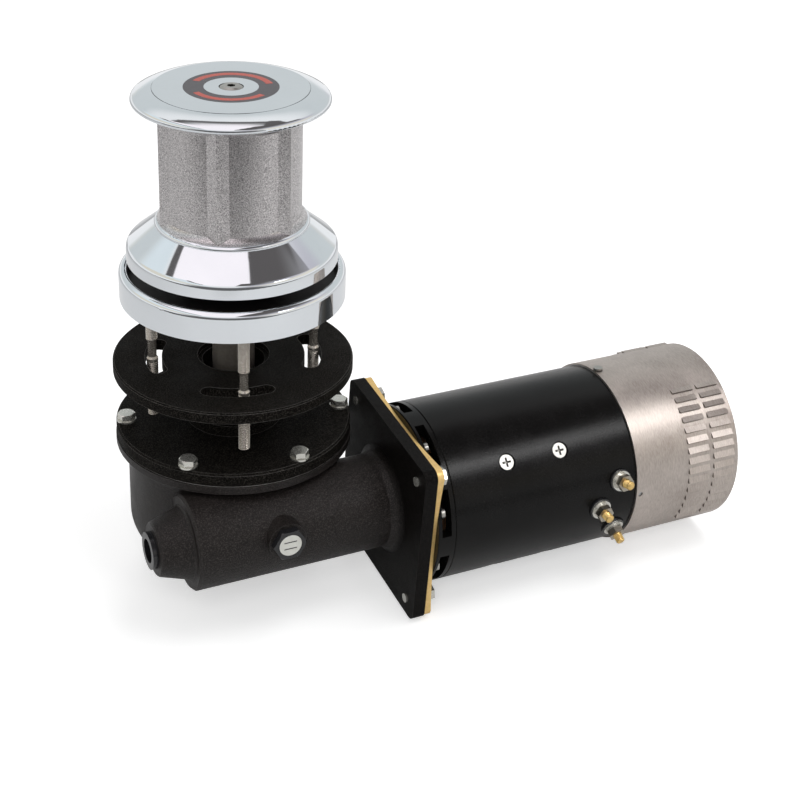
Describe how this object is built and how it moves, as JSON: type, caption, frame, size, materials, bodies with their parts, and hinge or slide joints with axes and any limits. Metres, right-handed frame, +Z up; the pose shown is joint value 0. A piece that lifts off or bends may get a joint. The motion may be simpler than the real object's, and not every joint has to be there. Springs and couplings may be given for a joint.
{
  "type": "capstan winch",
  "caption": "Through-deck electric capstan: chromed rope drum on a round base with studs, worm gearbox below the deck and a horizontal motor with a louvred end cover.",
  "frame": {"origin": "centre of the base ring's underside, where it rests on the deck, on the capstan's axis", "axes": "+Z up along the capstan's axis; +X from the gearbox along the motor; the worm and motor axis is at the front, on the -Y side"},
  "size_m": [0.5176, 0.275, 0.4374],
  "materials": {
    "drum": "polished",
    "drum_cap": "polished",
    "cap_ring": "black",
    "cap_screw": "polished",
    "drum_key": "machined",
    "output_shaft": "machined",
    "shaft_spacer": "machined",
    "shaft_circlip": "machined",
    "wheel_hub": "machined",
    "wheel_rim": "bronze",
    "wheel_bolts": "bright zinc",
    "wheel_key": "machined",
    "worm_shaft": "machined",
    "coupling": "machined",
    "coupling_pins": "machined",
    "armature_shaft": "machined",
    "armature_core": "machined",
    "armature_windings": "copper",
    "commutator": "copper",
    "base_ring": "polished",
    "base_bush": "bronze",
    "deck_studs": "bright zinc",
    "mounting_plate": "black, textured",
    "gearbox_cover": "black, textured",
    "cover_gasket": "thin soft sheet",
    "cover_bolts": "bright zinc",
    "cover_washers": "bright zinc",
    "gearbox_housing": "black, textured",
    "upper_bearing": "machined",
    "lower_bearing": "machined",
    "shaft_seal": "matt",
    "oil_plug": "black",
    "oil_window": "pale",
    "worm_bearings": "machined",
    "worm_seal": "matt",
    "crank_bush": "matt",
    "adaptor_plate": "bright",
    "flange_bolts": "bright zinc",
    "flange_washers": "bright zinc",
    "motor_bell": "black, satin",
    "bell_screws": "bright zinc",
    "motor_tube": "black, satin",
    "pole_screws": "bright zinc",
    "pole_shoes": "machined",
    "field_coils": "copper",
    "terminal_studs": "bright",
    "terminal_insulators": "matt",
    "terminal_washers": "bright zinc",
    "terminal_springs": "bright zinc",
    "terminal_nuts": "bright zinc",
    "motor_bearings": "machined",
    "end_shield": "cast",
    "shield_screws": "bright zinc",
    "cover_band": "brushed",
    "band_screw": "bright zinc",
    "brush_plate": "matt",
    "brush_holders": "bright",
    "brushes": "carbon",
    "brush_springs": "machined"
  },
  "bodies": {
    "frame": {"base_ring": "base_ring", "base_bush": "base_bush", "deck_studs": "deck_studs", "mounting_plate": "mounting_plate", "gearbox_cover": "gearbox_cover", "cover_gasket": "cover_gasket", "cover_bolts": "cover_bolts", "cover_washers": "cover_washers", "gearbox_housing": "gearbox_housing", "upper_bearing": "upper_bearing", "lower_bearing": "lower_bearing", "shaft_seal": "shaft_seal", "oil_plug": "oil_plug", "oil_window": "oil_window", "worm_bearings": "worm_bearings", "worm_seal": "worm_seal", "crank_bush": "crank_bush", "adaptor_plate": "adaptor_plate", "flange_bolts": "flange_bolts", "flange_washers": "flange_washers", "motor_bell": "motor_bell", "bell_screws": "bell_screws", "motor_tube": "motor_tube", "pole_screws": "pole_screws", "pole_shoes": "pole_shoes", "field_coils": "field_coils", "terminal_studs": "terminal_studs", "terminal_insulators": "terminal_insulators", "terminal_washers": "terminal_washers", "terminal_springs": "terminal_springs", "terminal_nuts": "terminal_nuts", "motor_bearings": "motor_bearings", "end_shield": "end_shield", "shield_screws": "shield_screws", "cover_band": "cover_band", "band_screw": "band_screw", "brush_plate": "brush_plate", "brush_holders": "brush_holders", "brushes": "brushes", "brush_springs": "brush_springs"},
    "capstan": {"drum": "drum", "drum_cap": "drum_cap", "cap_ring": "cap_ring", "cap_screw": "cap_screw", "drum_key": "drum_key", "output_shaft": "output_shaft", "shaft_spacer": "shaft_spacer", "shaft_circlip": "shaft_circlip", "wheel_hub": "wheel_hub", "wheel_rim": "wheel_rim", "wheel_bolts": "wheel_bolts", "wheel_key": "wheel_key"},
    "worm": {"worm_shaft": "worm_shaft", "coupling": "coupling", "coupling_pins": "coupling_pins", "armature_shaft": "armature_shaft", "armature_core": "armature_core", "armature_windings": "armature_windings", "commutator": "commutator"}
  },
  "joints": [
    {"name": "capstan_spin", "type": "hinge", "parent": "frame", "child": "capstan", "pos_m": [0, 0, 0], "axis": [0, 0, 1], "continuous": true},
    {"name": "worm_spin", "type": "hinge", "parent": "frame", "child": "worm", "pos_m": [0, -0.08, -0.1777], "axis": [1, 0, 0], "continuous": true}
  ],
  "couplings": [
    {"joint": "worm_spin", "follows": "capstan_spin", "ratio": -43}
  ]
}
